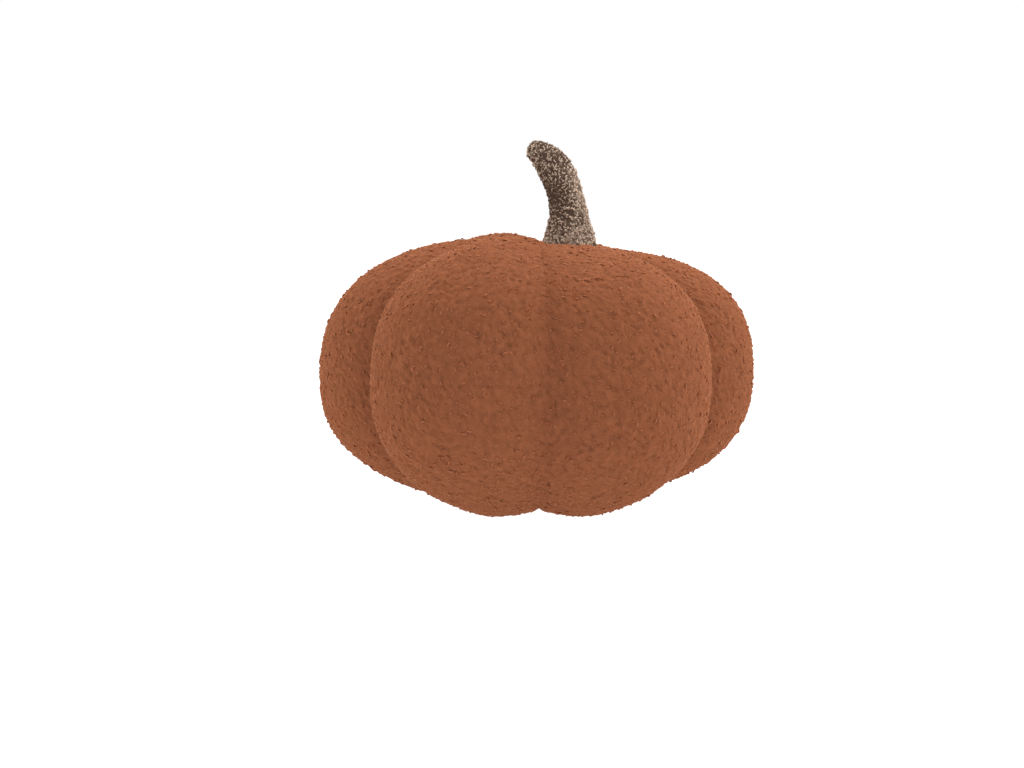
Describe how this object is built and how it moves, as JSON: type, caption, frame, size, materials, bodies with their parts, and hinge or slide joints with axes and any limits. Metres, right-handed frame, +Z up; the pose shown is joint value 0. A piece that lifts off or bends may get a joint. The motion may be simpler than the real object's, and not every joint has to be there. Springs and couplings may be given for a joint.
{
  "type": "pumpkin cushion",
  "caption": "Pumpkin-shaped stuffed cushion of looped-pile cloth, its gores drawn in at the seams, with a bent stuffed stem sewn into the dimple on top.",
  "frame": {"origin": "middle of the bounding box, on the surface that the cushion rests on", "axes": "+Z up, -Y towards the front of the picture, +X to the right as seen from the front; the stem bends towards -X"},
  "size_m": [0.3502, 0.326, 0.2915],
  "materials": {
    "rust_boucle": "matt looped-yarn pile, rust orange brown",
    "taupe_boucle": "matt beaded looped-yarn pile, mixed taupe brown"
  },
  "bodies": {
    "root": {"body": "rust_boucle", "stem": "taupe_boucle"}
  },
  "joints": []
}
